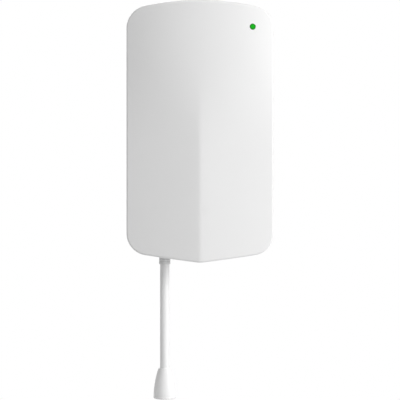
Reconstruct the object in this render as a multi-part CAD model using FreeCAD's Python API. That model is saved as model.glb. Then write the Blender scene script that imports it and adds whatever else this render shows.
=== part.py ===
import FreeCAD, Part
import math
import os

from FreeCAD import Vector

# Water leak sensor: a case that hangs on a wall plate, with a probe on a short cable.
# Millimetres. X is to the right, Z is up, and the wall is the plane Y = 0 with the front towards -Y.
# A depth is a distance from the wall, so it is measured along -Y.
# The origin is on the back of the wall plate, level with the middle of the case.

# Batteries and their bay
cell_diameter = 14.5
cell_length = 50.5
cell_button_diameter = 5.2
cell_button_height = 1.3
cell_edge_radius = 0.5
cell_spacing = 0.7
cell_clearance = 0.35
cell_seat_clearance = 0.25
bay_wall = 1.2
bay_corner_radius = 6.0
bay_rib_width = 1.0
bay_rib_height = 3.6
contact_sheet = 0.4
contact_width = 10.0
contact_depth = 8.0
contact_tab_width = 3.0
contact_tab_length = 3.6
contact_slot_clearance = 0.2
spring_height = 4.3
spring_wire = 0.7
spring_base_diameter = 9.0
spring_tip_diameter = 5.0
spring_turns = 3.5

# Case walls and outline
side_wall = 1.8
front_wall = 1.8
rear_wall = 1.4
corner_radius = 8.0
top_arc_radius = 113.0
bottom_fall_deg = 7.75
bottom_side_bow = 0.06
draft_deg = 0.8
parting_depth = 9.0
parting_chamfer = 0.25
front_edge_radius = 0.7
rear_edge_radius = 1.2
lip_thickness = 0.8
lip_height = 1.5
lip_root = 1.5
lip_clearance = 0.12

# Crown and fold of the front
crown_height = 5.0
fold_slope_share = 0.75
fold_edge_half_width = 0.8
fold_flank = 12.0
crown_margin = 3.0
cover_gap = 0.45

# Free room inside the case
lower_room = 17.35
lead_channel = 2.7
pillar_gap = 1.0
board_gap = 0.7
board_clearance = 0.65

# Screws of the case
pillar_diameter = 4.6
screw_hole_diameter = 2.2
screw_pilot_diameter = 1.8
screw_length = 11.0
screw_pilot_spare = 1.0
screw_head_diameter = 4.2
screw_head_height = 1.8
screw_head_clearance = 0.4
screw_well_wall = 0.9
screw_well_depth = 4.4
screw_seat = 1.6
screw_slot_width = 0.8
screw_slot_depth = 0.7
lower_screw_height = 10.65
upper_screw_drop = 22.9

# Wall plate and its slide
plate_width = 34.0
plate_height = 68.0
plate_thickness = 2.0
plate_top = 35.5
plate_corner_radius = 4.0
plate_side_clearance = 0.4
plate_floor_clearance = 0.4
plate_rest_clearance = 0.3
slide_travel = 6.5
wall_gap = 0.3
tab_length = 6.0
tab_reach = 1.2
tab_thickness = 0.8
tab_clearance = 0.3
tab_heights = (-22.0, 14.0)
wall_screw_spacing = 50.0
wall_screw_diameter = 4.2
wall_screw_sink_diameter = 7.8
wall_screw_sink_depth = 1.2

# Board and what is on it
board_thickness = 1.6
board_height = 15.3
board_lift = 1.5
board_screw_places = ((-12.5, 12.0), (12.5, 4.5))
board_screw_hole_diameter = 2.2
board_screw_head_diameter = 3.6
board_screw_head_height = 1.2
board_screw_length = 5.5
board_pillar_diameter = 4.4
board_pilot_diameter = 1.4
board_pilot_spare = 0.5
radio_width = 15.0
radio_height = 10.0
radio_thickness = 2.2
radio_board_thickness = 0.8
radio_rise = 3.6
header_width = 4.2
header_height = 4.0
header_depth = 3.0
header_rise = 3.6
plug_height = 3.2
plug_width = 3.6
plug_depth = 2.2

# Indicator
light_from_side = 7.67
light_from_top = 9.4
light_diameter = 2.2
light_flange_diameter = 3.6
light_flange_thickness = 1.0
light_seat_wall = 1.1
light_air_gap = 0.5
light_proud = 0.25
led_width = 3.5
led_height = 2.8
led_thickness = 1.6
led_well_depth = 0.4

# Pairing button
switch_size = 6.0
switch_thickness = 3.4
switch_rise = 0.3
plunger_diameter = 3.0
plunger_length = 2.0
plunger_clearance = 0.3
plunger_proud = 0.8
button_diameter = 4.6
button_clearance = 0.25
button_flange = 1.0
button_flange_thickness = 0.9
button_travel = 0.4
button_play = 0.2
button_sink = 0.5
button_edge_radius = 0.4

# Cable and its bush
cable_x = -12.85
cable_diameter = 3.4
cable_inside = 7.6
bush_diameter = 4.1
bush_drop = 2.5
bush_flange_diameter = 6.4
bush_flange_thickness = 1.2
bush_upstand = 1.4
bush_edge = 0.15
saddle_side = 1.6
saddle_height = 5.6
flange_rise = 3.4
cable_free_length = 37.85
lead_diameter = 0.9
lead_pitch = 1.25
lead_bend_radius = 2.5
lead_rise = 1.6

# Probe
probe_diameter = 8.14
probe_height = 11.1
probe_side_radius = 32.0
probe_top_edge = 0.15
probe_foot_radius = 0.5
probe_socket_depth = 4.8
carrier_diameter = 5.8
carrier_recess = 0.5
pin_diameter = 1.4
pin_spacing = 3.2
pin_length = 4.0

# How far a cutting tool runs past the face that it opens
overshoot = 1.0

# Sizes that follow from those above
cell_x = (cell_diameter + cell_spacing) / 2
bay_half_width = cell_x + cell_diameter / 2 + cell_clearance
bay_outer_half = bay_half_width + bay_wall
bay_length = cell_length + spring_height + 2 * contact_sheet
channel_outer = bay_outer_half + lead_channel
screw_x = channel_outer + pillar_diameter / 2
half_width = channel_outer + pillar_diameter + pillar_gap + side_wall
body_width = 2 * half_width
board_room = board_gap + board_height + board_clearance
body_height = lower_room + 2 * bay_wall + bay_length + board_room + side_wall
half_height = body_height / 2

bay_bottom = -half_height + lower_room + bay_wall
bay_top = bay_bottom + bay_length
board_bottom = bay_top + bay_wall + board_gap

floor_depth = plate_thickness + plate_floor_clearance
floor_front = floor_depth + rear_wall
cell_depth = floor_depth + cell_seat_clearance + cell_diameter / 2
bay_front = cell_depth + cell_diameter / 2 + cell_seat_clearance
board_rear = parting_depth + board_lift
board_front = board_rear + board_thickness
contact_front = board_front + contact_sheet

fold_slope = fold_slope_share * crown_height / half_width
fold_curve = (crown_height - fold_slope * half_width) / half_width ** 2
shoulder_drop = fold_slope * cell_x + fold_curve * cell_x ** 2
ridge_depth = bay_front + bay_wall + cover_gap + front_wall + shoulder_drop
edge_depth = ridge_depth - crown_height

core_half_width = half_width - corner_radius
lower_screw_z = -half_height + lower_screw_height
upper_screw_z = half_height - upper_screw_drop
screw_places = [(side * screw_x, z) for side in (-1, 1) for z in (lower_screw_z, upper_screw_z)]
seat_depth = screw_well_depth + screw_seat
board_screws_at = [(x, board_bottom + rise) for x, rise in board_screw_places]
light_x = half_width - light_from_side
light_z = half_height - light_from_top
light_seat_depth = board_front + led_thickness + light_air_gap + light_flange_thickness
button_z = board_bottom + switch_rise + switch_size / 2
lead_x = -(bay_outer_half + lead_channel / 2)
header_z = board_bottom + header_rise


def at(x, depth, z):
    """The point at x and z that lies depth in front of the wall."""
    return Vector(x, -depth, z)


def box(x_range, depth_range, z_range):
    """A block between two values of x, two depths and two heights."""
    corner = at(x_range[0], depth_range[1], z_range[0])
    width = x_range[1] - x_range[0]
    depth = depth_range[1] - depth_range[0]
    height = z_range[1] - z_range[0]
    return Part.makeBox(width, depth, height, corner)


def rod(x, z, radius, from_depth, to_depth):
    """A round rod that runs forwards from one depth to another."""
    return Part.makeCylinder(radius, to_depth - from_depth, at(x, from_depth, z), Vector(0, -1, 0))


def cone_rod(x, z, from_radius, to_radius, from_depth, to_depth):
    """A cone that runs forwards from one depth to another."""
    length = to_depth - from_depth
    return Part.makeCone(from_radius, to_radius, length, at(x, from_depth, z), Vector(0, -1, 0))


def post(x, depth, radius, from_z, to_z):
    """An upright round rod."""
    return Part.makeCylinder(radius, to_z - from_z, at(x, depth, from_z), Vector(0, 0, 1))


def edges_at_depth(shape, depth):
    """The edges of a shape that lie in the plane at one depth."""
    return [edge for edge in shape.Edges
            if edge.BoundBox.YLength < 0.001 and abs(edge.Vertexes[0].Point.y + depth) < 0.001]


def edges_at_height(shape, height):
    """The edges of a shape that lie in the level plane at one height."""
    return [edge for edge in shape.Edges
            if edge.BoundBox.ZLength < 0.001 and abs(edge.Vertexes[0].Point.z - height) < 0.001]


def edges_along_depth(shape):
    """The edges of a shape that run straight forwards."""
    return [edge for edge in shape.Edges if abs(edge.tangentAt(edge.FirstParameter).y) > 0.99]


def rounded_slab(half, z_range, depth_range, radius):
    """An upright slab with rounded corners, centred on x = 0."""
    slab = box((-half, half), depth_range, z_range)
    return slab.makeFillet(radius, edges_along_depth(slab))


def outline(inset, depth):
    """The case's outline at one depth: an arc on top, a shallow V below, and rounded corners."""
    arc_radius = top_arc_radius - corner_radius
    arc_centre = half_height - top_arc_radius
    top_corner = arc_centre + math.sqrt(arc_radius ** 2 - core_half_width ** 2)
    bottom_tip = -half_height + corner_radius
    bottom_corner = bottom_tip + core_half_width * math.tan(math.radians(bottom_fall_deg))
    bow = Vector(0, 0, -bottom_side_bow)

    top_left = at(-core_half_width, depth, top_corner)
    top = at(0, depth, arc_centre + arc_radius)
    top_right = at(core_half_width, depth, top_corner)
    bottom_right = at(core_half_width, depth, bottom_corner)
    tip = at(0, depth, bottom_tip)
    bottom_left = at(-core_half_width, depth, bottom_corner)
    core = Part.Wire([
        Part.Arc(top_left, top, top_right).toShape(),
        Part.LineSegment(top_right, bottom_right).toShape(),
        Part.Arc(bottom_right, (bottom_right + tip) * 0.5 + bow, tip).toShape(),
        Part.Arc(tip, (tip + bottom_left) * 0.5 + bow, bottom_left).toShape(),
        Part.LineSegment(bottom_left, top_left).toShape(),
    ])
    return core.makeOffset2D(corner_radius - inset)


def drafted(inset, from_depth, to_depth):
    """A solid of the case's outline, which narrows with the draft away from the parting line."""
    slope = math.tan(math.radians(draft_deg))
    wires = []
    for depth in (from_depth, to_depth):
        wires.append(outline(inset + abs(depth - parting_depth) * slope, depth))
    return Part.makeLoft(wires, True, True)


def straight(inset, from_depth, to_depth):
    """A solid of the case's outline with square sides."""
    face = Part.Face(outline(inset, from_depth))
    return face.extrude(Vector(0, from_depth - to_depth, 0))


def fold_strength(row_height):
    """How much of the fold is left at a height: all of it low down, none of it near the top."""
    start = -0.10 * half_height
    end = 0.62 * half_height
    share = min(1.0, max(0.0, (row_height - start) / (end - start)))
    return 1 - share * share * (3 - 2 * share)


def crown_columns(strength):
    """Control columns from the middle to the side: distance from the middle, and depth.

    Each side is a parabola. It leaves the ridge at the fold's slope and meets the side wall at
    the same depth at every height, so the fold fades without moving the rim or the ridge."""
    reach = half_width + crown_margin
    slope = fold_slope * strength
    inner_slope = fold_slope * strength ** 2
    curve = (crown_height - slope * half_width) / half_width ** 2
    flank = (fold_edge_half_width + fold_flank) / 2
    side = (fold_flank + reach) / 2
    ridge = ridge_depth + curve * fold_edge_half_width ** 2
    flank_depth = ridge_depth - inner_slope * flank - curve * fold_edge_half_width * fold_flank
    side_depth = ridge_depth - slope * side - curve * fold_flank * reach
    rim_depth = ridge_depth - slope * reach - curve * reach ** 2
    return [(0.0, ridge), (flank, flank_depth), (side, side_depth), (reach, rim_depth)]


def behind_crown(setback):
    """The space behind the front's crowned surface, moved towards the wall by a setback."""
    rows = 13
    low = -half_height - crown_margin
    step = (body_height + 2 * crown_margin) / (rows - 1)
    net = []
    for row in range(rows):
        height = low + row * step
        columns = crown_columns(fold_strength(height))
        right = [at(x, depth - setback, height) for x, depth in columns]
        left = [at(-x, depth - setback, height) for x, depth in columns[:0:-1]]
        net.append(left + right)
    reach = half_width + crown_margin
    across = [-reach, -fold_flank, -fold_edge_half_width, fold_edge_half_width, fold_flank, reach]
    upwards = list(range(rows - 2))
    surface = Part.BSplineSurface()
    surface.buildFromPolesMultsKnots(
        net,
        [4] + [1] * (rows - 4) + [4],
        [3, 1, 1, 1, 1, 3],
        upwards,
        across,
        False,
        False,
        3,
        2,
    )
    return surface.toShape().extrude(Vector(0, ridge_depth + crown_margin, 0))


def make_front_cover():
    """Moulded front shell, with its pillars, the light pipe's seat and its half of the bush saddle."""
    outer = drafted(0, parting_depth, ridge_depth + crown_margin).common(behind_crown(0))
    front = max(outer.Faces, key=lambda face: -face.CenterOfMass.y)
    outer = outer.makeFillet(front_edge_radius, front.OuterWire.Edges)
    outer = outer.makeChamfer(parting_chamfer, edges_at_depth(outer, parting_depth))
    hollow = drafted(side_wall, parting_depth, ridge_depth + crown_margin).common(behind_crown(front_wall))
    cover = outer.cut(hollow)

    # What stands inside runs from the front wall down to its own seat
    inside = []
    for x, z in screw_places:
        inside.append(rod(x, z, pillar_diameter / 2, seat_depth, ridge_depth))
    for x, z in board_screws_at:
        inside.append(rod(x, z, board_pillar_diameter / 2, board_front, ridge_depth))
    light_radius = light_diameter / 2
    inside.append(rod(light_x, light_z, light_radius + light_seat_wall, light_seat_depth, ridge_depth))
    inside.append(saddle_block(parting_depth, ridge_depth))
    room = straight(side_wall / 2, seat_depth, ridge_depth + crown_margin)
    room = room.common(behind_crown(front_wall / 2))
    below_parting = straight(side_wall + lip_clearance + lip_thickness, seat_depth - overshoot, parting_depth)
    room = room.common(below_parting.fuse(box(
        (-body_width, body_width), (parting_depth, 2 * ridge_depth), (-body_height, body_height))))
    for piece in inside:
        cover = cover.fuse(piece.common(room))

    for x, z in screw_places:
        hole_end = screw_well_depth + screw_length + screw_pilot_spare
        cover = cover.cut(rod(x, z, screw_pilot_diameter / 2, seat_depth - overshoot, hole_end))
    for x, z in board_screws_at:
        hole_end = board_rear + board_screw_length + board_pilot_spare
        cover = cover.cut(rod(x, z, board_pilot_diameter / 2, board_front - overshoot, hole_end))
    ends = (light_seat_depth - overshoot, ridge_depth + overshoot)
    cover = cover.cut(rod(light_x, light_z, light_radius, *ends))
    cover = cover.cut(bush_space())
    return cover.removeSplitter()


def saddle_block(from_depth, to_depth):
    """Block that carries the cable's bush, from the bottom wall up past the bush's flange."""
    half = bush_flange_diameter / 2 + saddle_side
    low = wall_height_at(cable_x) + side_wall / 2
    return box((cable_x - half, cable_x + half), (from_depth, to_depth), (low, low + saddle_height))


def wall_height_at(x):
    """Height of the case's bottom edge at x, on the parting line."""
    column = Part.makeLine(at(x, parting_depth, -body_height), at(x, parting_depth, 0))
    return column.common(Part.Face(outline(0, parting_depth))).BoundBox.ZMin


def bush_heights():
    """Heights of the bush's lower end, of its flange's two faces and of its upper end."""
    wall = wall_height_at(cable_x)
    flange = wall + flange_rise
    flange_top = flange + bush_flange_thickness
    return wall - bush_drop, flange, flange_top, flange_top + bush_upstand


def bush_space():
    """Room for the bush in both covers."""
    low, flange, flange_top, high = bush_heights()
    space = post(cable_x, parting_depth, bush_diameter / 2, low, high + saddle_height)
    return space.fuse(post(cable_x, parting_depth, bush_flange_diameter / 2, flange, flange_top))


def make_cable_gland():
    """Soft bush round the cable, with a flange that the two covers trap."""
    low, flange, flange_top, high = bush_heights()
    sleeve = post(cable_x, parting_depth, bush_diameter / 2, low, high)
    sleeve = sleeve.makeChamfer(bush_edge, edges_at_height(sleeve, low) + edges_at_height(sleeve, high))
    bush = sleeve.fuse(post(cable_x, parting_depth, bush_flange_diameter / 2, flange, flange_top))
    return bush.cut(post(cable_x, parting_depth, cable_diameter / 2, low - overshoot, high + overshoot))


def make_rear_cover():
    """Moulded rear shell: the recess for the wall plate, the cell bay, the screw wells and a lip."""
    outer = drafted(0, wall_gap, parting_depth)
    outer = outer.makeFillet(rear_edge_radius, edges_at_depth(outer, wall_gap))
    outer = outer.makeChamfer(parting_chamfer, edges_at_depth(outer, parting_depth))
    shell = outer.cut(drafted(side_wall, wall_gap + rear_wall, parting_depth))

    # Lip that stands inside the front cover's wall
    lip_outer = side_wall + lip_clearance
    lip_inner = lip_outer + lip_thickness
    lip_foot = parting_depth - lip_root
    lip_top = parting_depth + lip_height
    lip = straight(lip_outer, lip_foot, lip_top).fuse(straight(side_wall / 2, lip_foot, parting_depth))
    lip = lip.cut(straight(lip_inner, lip_foot - overshoot, lip_top + overshoot))
    shell = shell.fuse(lip)

    # The recess is stepped inwards, and the bay stands up from its floor
    recess_half = plate_width / 2 + plate_side_clearance
    recess_top = plate_top + plate_rest_clearance
    recess_bottom = plate_top - plate_height - slide_travel - plate_side_clearance
    recess_radius = plate_corner_radius + plate_side_clearance
    tab_half = plate_width / 2 + tab_reach + tab_clearance
    step_half = tab_half + rear_wall
    step_z = (recess_bottom - rear_wall, recess_top + rear_wall)
    step = rounded_slab(step_half, step_z, (wall_gap, floor_front), recess_radius + rear_wall)
    bay_z = (bay_bottom - bay_wall, bay_top + bay_wall)
    bay = bay_block(bay_outer_half, bay_z, floor_depth, bay_front + bay_wall, bay_corner_radius + bay_wall)
    shell = shell.fuse(step).fuse(bay)
    for x, z in screw_places:
        well_radius = screw_head_diameter / 2 + screw_head_clearance + screw_well_wall
        well = rod(x, z, well_radius, wall_gap, seat_depth)
        shell = shell.fuse(well.common(straight(side_wall / 2, wall_gap, seat_depth)))
    saddle = saddle_block(wall_gap + rear_wall / 2, parting_depth)
    shell = shell.fuse(saddle)

    # Openings: the recess, the tabs' ways, the bay, the screw holes, the button and the bush
    recess = rounded_slab(recess_half, (recess_bottom, recess_top), (0, floor_depth), recess_radius)
    shell = shell.cut(recess)
    ledge_depth = plate_thickness - tab_thickness - tab_clearance
    for z in tab_heights:
        way_top = z + tab_length / 2 + tab_clearance
        ledge_foot = z - tab_length / 2
        way_foot = ledge_foot - slide_travel - tab_clearance
        shell = shell.cut(box((-tab_half, tab_half), (ledge_depth, floor_depth), (way_foot, way_top)))
        shell = shell.cut(box((-tab_half, tab_half), (0, floor_depth), (way_foot, ledge_foot)))
    pocket = bay_block(bay_half_width, (bay_bottom, bay_top), 0, bay_front, bay_corner_radius)
    shell = shell.cut(pocket)
    rib_depths = (bay_front - bay_rib_height, bay_front + bay_wall / 2)
    rib_z = (bay_bottom + spring_height, bay_top - spring_height)
    shell = shell.fuse(box((-bay_rib_width / 2, bay_rib_width / 2), rib_depths, rib_z))
    for x, z in screw_places:
        well = screw_head_diameter / 2 + screw_head_clearance
        shell = shell.cut(rod(x, z, well, 0, screw_well_depth))
        shell = shell.cut(rod(x, z, screw_hole_diameter / 2, 0, seat_depth + overshoot))
    button_hole = button_diameter / 2 + button_clearance
    shell = shell.cut(rod(0, button_z, button_hole, 0, floor_front + overshoot))
    slot_half = contact_tab_width / 2 + contact_slot_clearance
    slot_depths = (board_front - contact_slot_clearance, contact_front + contact_slot_clearance)
    slot_z = (bay_top - overshoot, bay_top + bay_wall + overshoot)
    for x in (-cell_x, cell_x):
        shell = shell.cut(box((x - slot_half, x + slot_half), slot_depths, slot_z))
    shell = shell.cut(lip_gap()).cut(bush_space())
    return shell.removeSplitter()


def lip_gap():
    """Gap in the lip where the bush's saddle and the front cover's pillars pass it."""
    half = bush_flange_diameter / 2 + saddle_side + lip_clearance
    low = wall_height_at(cable_x)
    above_lip = parting_depth + lip_height + overshoot
    gap = box((cable_x - half, cable_x + half), (parting_depth, above_lip),
              (low, low + saddle_height + side_wall))
    pillar_room = pillar_diameter / 2 + lip_clearance
    for x, z in screw_places:
        gap = gap.fuse(rod(x, z, pillar_room, seat_depth, above_lip))
    return gap


def bay_block(half, z_range, from_depth, to_depth, radius):
    """A block whose front edges are rounded to follow the two cells."""
    block = box((-half, half), (from_depth, to_depth), z_range)
    front = edges_at_depth(block, to_depth)
    return block.makeFillet(radius, [edge for edge in front if edge.BoundBox.XLength < 0.001])


def make_wall_plate():
    """Moulded plate with two countersunk holes and four tabs that the case's ledges drop behind."""
    plate_z = (plate_top - plate_height, plate_top)
    plate = rounded_slab(plate_width / 2, plate_z, (0, plate_thickness), plate_corner_radius)
    reach = plate_width / 2 + tab_reach
    tab_back = plate_thickness - tab_thickness
    for z in tab_heights:
        tab = box((-reach, reach), (tab_back, plate_thickness), (z - tab_length / 2, z + tab_length / 2))
        plate = plate.fuse(tab)
    hole = wall_screw_diameter / 2
    sink = wall_screw_sink_diameter / 2
    sink_back = plate_thickness - wall_screw_sink_depth
    for z in (-wall_screw_spacing / 2, wall_screw_spacing / 2):
        plate = plate.cut(rod(0, z, hole, -overshoot, plate_thickness + overshoot))
        plate = plate.cut(cone_rod(0, z, hole, sink, sink_back, plate_thickness))
    return plate.removeSplitter()


def make_cell(x, foot, upwards):
    """One AA cell; its button is at the top, or at the bottom where it points down."""
    can_length = cell_length - cell_button_height
    can_foot = foot if upwards else foot + cell_button_height
    button_foot = foot + can_length if upwards else foot
    can = post(x, cell_depth, cell_diameter / 2, can_foot, can_foot + can_length)
    rims = edges_at_height(can, can_foot) + edges_at_height(can, can_foot + can_length)
    can = can.makeFillet(cell_edge_radius, rims)
    button = post(x, cell_depth, cell_button_diameter / 2, button_foot, button_foot + cell_button_height)
    return can.fuse(button).removeSplitter()


def make_top_contact(x):
    """Sheet contact under the bay's top wall, with a tab that rises to the board."""
    half = contact_width / 2
    tab_half = contact_tab_width / 2
    foot = bay_top - contact_sheet
    plate = box((x - half, x + half), (contact_front - contact_depth, contact_front), (foot, bay_top))
    tab_z = (foot, board_bottom + contact_tab_length)
    tab = box((x - tab_half, x + tab_half), (board_front, contact_front), tab_z)
    return plate.fuse(tab).removeSplitter()


def make_link_contact():
    """Sheet that joins both cells at the bottom of the bay."""
    half = cell_x + contact_width / 2
    return box((-half, half), (contact_front - contact_depth, contact_front),
               (bay_bottom, bay_bottom + contact_sheet))


def make_spring(x, foot, upwards):
    """Coned coil spring between a contact and a cell's flat end; it narrows towards the cell."""
    rise = spring_height - spring_wire
    pitch = rise / spring_turns
    base = (spring_base_diameter - spring_wire) / 2
    tip = (spring_tip_diameter - spring_wire) / 2
    flare = math.degrees(math.atan((base - tip) / rise))
    coil = Part.makeHelix(pitch, rise, tip, flare)
    first = coil.Edges[0]
    start = first.valueAt(first.FirstParameter)
    heading = first.tangentAt(first.FirstParameter)
    section = Part.Wire(Part.makeCircle(spring_wire / 2, start, heading))
    spring = Part.Wire(coil.Edges).makePipeShell([section], True, True)
    spring.translate(Vector(0, 0, spring_wire / 2))
    if upwards:
        spring.rotate(Vector(0, 0, 0), Vector(1, 0, 0), 180)
        spring.translate(Vector(0, 0, spring_height))
    spring.translate(at(x, cell_depth, foot))
    return spring


def make_main_board():
    """Circuit board that follows the case's top outline, with two screw holes."""
    board = straight(side_wall + board_clearance, board_rear, board_front)
    board = board.common(box((-body_width, body_width), (0, 2 * ridge_depth), (board_bottom, body_height)))
    for x, z in board_screws_at:
        board = board.cut(rod(x, z, board_screw_hole_diameter / 2, 0, ridge_depth))
    return board


def make_screw(x, z, head_diameter, head_height, shank_diameter, length, seat, slot):
    """Screw driven forwards: its head is towards the wall, under a cross slot."""
    head = rod(x, z, head_diameter / 2, seat - head_height, seat)
    head = head.makeFillet(head_height / 3, edges_at_depth(head, seat - head_height))
    point = shank_diameter * 0.8
    shank = rod(x, z, shank_diameter / 2, seat, seat + length - point)
    tip = cone_rod(x, z, shank_diameter / 2, shank_diameter / 6, seat + length - point, seat + length)
    screw = head.fuse(shank).fuse(tip)
    reach = head_diameter * 0.3
    slot_depths = (seat - head_height - overshoot, seat - head_height + slot)
    half = screw_slot_width / 2
    screw = screw.cut(box((x - reach, x + reach), slot_depths, (z - half, z + half)))
    screw = screw.cut(box((x - half, x + half), slot_depths, (z - reach, z + reach)))
    return screw.removeSplitter()


def make_case_screws():
    """The four screws that join the covers."""
    return Part.makeCompound([
        make_screw(x, z, screw_head_diameter, screw_head_height, screw_pilot_diameter, screw_length,
                   screw_well_depth, screw_slot_depth)
        for x, z in screw_places
    ])


def make_board_screws():
    """The two screws that hold the board on its pillars."""
    return Part.makeCompound([
        make_screw(x, z, board_screw_head_diameter, board_screw_head_height, board_pilot_diameter,
                   board_screw_length, board_rear, board_screw_head_height / 2)
        for x, z in board_screws_at
    ])


def make_radio_module():
    """Radio module: a small board under a folded screening can."""
    foot = board_bottom + radio_rise
    half = radio_width / 2
    carrier_front = board_front + radio_board_thickness
    carrier = box((-half, half), (board_front, carrier_front), (foot, foot + radio_height))
    rim = radio_board_thickness
    can = box((-half + 4 * rim, half - rim), (carrier_front, board_front + radio_thickness),
              (foot + rim, foot + radio_height - rim))
    return carrier.fuse(can.makeFillet(rim, edges_along_depth(can)))


def make_status_led():
    """Indicator on the front of the board, with a shallow lens well."""
    front = board_front + led_thickness
    half = led_width / 2
    led_z = (light_z - led_height / 2, light_z + led_height / 2)
    led = box((light_x - half, light_x + half), (board_front, front), led_z)
    well_radius = led_height * 0.42
    return led.cut(cone_rod(light_x, light_z, well_radius * 0.7, well_radius, front - led_well_depth, front))


def crown_depth_at(x, z):
    """Depth of the front's surface at a point."""
    line = Part.makeLine(at(x, parting_depth, z), at(x, 2 * ridge_depth, z))
    return -line.common(behind_crown(0)).BoundBox.YMin


def make_light_pipe():
    """Clear pipe whose flange sits on its boss and whose domed end shows at the front."""
    radius = light_diameter / 2
    surface = crown_depth_at(light_x, light_z)
    end = surface + light_proud
    pipe = rod(light_x, light_z, radius, light_seat_depth, end)
    pipe = pipe.makeFillet(radius / 3, edges_at_depth(pipe, end))
    flange_back = light_seat_depth - light_flange_thickness
    flange = rod(light_x, light_z, light_flange_diameter / 2, flange_back, light_seat_depth)
    return pipe.fuse(flange).removeSplitter()


def make_pair_switch():
    """Push switch on the rear of the board, with the well that its plunger moves in."""
    half = switch_size / 2
    rear = board_rear - switch_thickness
    body = box((-half, half), (rear, board_rear), (button_z - half, button_z + half))
    well = plunger_diameter / 2 + plunger_clearance
    well_depth = plunger_length - plunger_proud + button_travel + plunger_clearance
    return body.cut(rod(0, button_z, well, rear - overshoot, rear + well_depth))


def plunger_rear():
    """Depth of the plunger's rear face at rest."""
    return board_rear - switch_thickness - plunger_proud


def make_switch_plunger():
    """Plunger of the push switch."""
    return rod(0, button_z, plunger_diameter / 2, plunger_rear(), plunger_rear() + plunger_length)


def make_pair_button():
    """Button cap in the rear cover's floor, held in by its flange, on the plunger."""
    flange_back = floor_front + button_play
    rear = floor_depth + button_sink
    cap = rod(0, button_z, button_diameter / 2, rear, plunger_rear())
    cap = cap.makeFillet(button_edge_radius, edges_at_depth(cap, rear))
    flange_front = flange_back + button_flange_thickness
    flange = rod(0, button_z, button_diameter / 2 + button_flange, flange_back, flange_front)
    return cap.fuse(flange).removeSplitter()


def make_board_header():
    """Two-pin header on the rear of the board."""
    half = header_width / 2
    depths = (board_rear - header_depth, board_rear)
    shroud = box((lead_x - half, lead_x + half), depths, (header_z, header_z + header_height))
    return shroud.cut(plug_block(header_z - overshoot))


def make_lead_plug():
    """Plug on the leads, pushed halfway into the header."""
    return plug_block(plug_foot())


def plug_foot():
    """Height of the plug's lower end, where the leads enter it."""
    return header_z + header_height / 2 - plug_height


def plug_block(foot):
    """The plug's outer form, from a given height up to its end in the header."""
    half = plug_width / 2
    depths = (parting_depth - plug_depth / 2, parting_depth + plug_depth / 2)
    return box((lead_x - half, lead_x + half), depths, (foot, header_z + header_height / 2))


def make_sensor_leads():
    """Two insulated leads from the cable's end, along the bay's side, to the plug."""
    start_z = cable_end_inside()
    end_z = plug_foot()
    leads = []
    for side in (-1, 1):
        shift = side * lead_pitch / 2
        low_x = cable_x + shift * 0.8
        high_x = lead_x + shift
        turn = start_z + lead_rise
        drop = abs(high_x - low_x)
        route = [
            at(low_x, parting_depth, start_z),
            at(low_x, parting_depth, turn),
            at(high_x, parting_depth, turn + drop),
            at(high_x, parting_depth, end_z),
        ]
        leads.append(tube_along(route, lead_diameter / 2, lead_bend_radius))
    return Part.makeCompound(leads)


def tube_along(route, radius, bend):
    """A round tube along straight runs whose corners are rounded."""
    edges = []
    start = route[0]
    for before, corner, after in zip(route, route[1:], route[2:]):
        into = (corner - before).normalize()
        away = (after - corner).normalize()
        turn = into.getAngle(away)
        setback = bend * math.tan(turn / 2)
        arc_start = corner - into * setback
        arc_end = corner + away * setback
        bisector = (away - into).normalize()
        arc_middle = corner + bisector * (bend / math.cos(turn / 2) - bend)
        edges.append(Part.LineSegment(start, arc_start).toShape())
        edges.append(Part.Arc(arc_start, arc_middle, arc_end).toShape())
        start = arc_end
    edges.append(Part.LineSegment(start, route[-1]).toShape())
    heading = (route[1] - route[0]).normalize()
    section = Part.Wire(Part.makeCircle(radius, route[0], heading))
    return Part.Wire(edges).makePipeShell([section], True, False)


def cable_end_inside():
    """Height of the cable's end inside the case."""
    return wall_height_at(cable_x) + cable_inside


def probe_top():
    """Height of the probe's top, where the cable enters it."""
    return bush_heights()[0] - cable_free_length


def make_cable():
    """Round cable, straight down from inside the case into the probe's socket."""
    foot = probe_top() - probe_socket_depth
    return post(cable_x, parting_depth, cable_diameter / 2, foot, cable_end_inside())


def make_probe_head():
    """Turned bell: a narrow top, sides that curve out to upright, and a hollow for the carrier."""
    radius = probe_diameter / 2
    height = probe_height
    rise = height - probe_foot_radius - probe_top_edge
    axis_gap = probe_side_radius - radius
    top_radius = math.sqrt(probe_side_radius ** 2 - rise ** 2) - axis_gap
    middle_radius = math.sqrt(probe_side_radius ** 2 - (rise / 2) ** 2) - axis_gap
    middle = Vector(middle_radius, 0, probe_foot_radius + rise / 2)
    shoulder = Vector(top_radius, 0, height - probe_top_edge)
    crown = Vector(top_radius - probe_top_edge, 0, height)
    foot_side = Vector(radius, 0, probe_foot_radius)
    foot_end = Vector(radius - probe_foot_radius, 0, 0)
    foot_turn = Vector(foot_end.x, 0, foot_side.z) + Vector(1, 0, -1).normalize() * probe_foot_radius
    edges = [
        Part.LineSegment(Vector(0, 0, 0), foot_end).toShape(),
        Part.Arc(foot_end, foot_turn, foot_side).toShape(),
        Part.Arc(foot_side, middle, shoulder).toShape(),
        Part.LineSegment(shoulder, crown).toShape(),
        Part.LineSegment(crown, Vector(0, 0, height)).toShape(),
        Part.LineSegment(Vector(0, 0, height), Vector(0, 0, 0)).toShape(),
    ]
    bell = Part.Face(Part.Wire(edges)).revolve(Vector(0, 0, 0), Vector(0, 0, 1), 360)
    bell.translate(at(cable_x, parting_depth, probe_top() - height))
    socket_end = probe_top() - probe_socket_depth
    top_end = probe_top() + overshoot
    foot = probe_top() - height - overshoot
    bell = bell.cut(post(cable_x, parting_depth, cable_diameter / 2, socket_end, top_end))
    return bell.cut(post(cable_x, parting_depth, carrier_diameter / 2, foot, socket_end))


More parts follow.
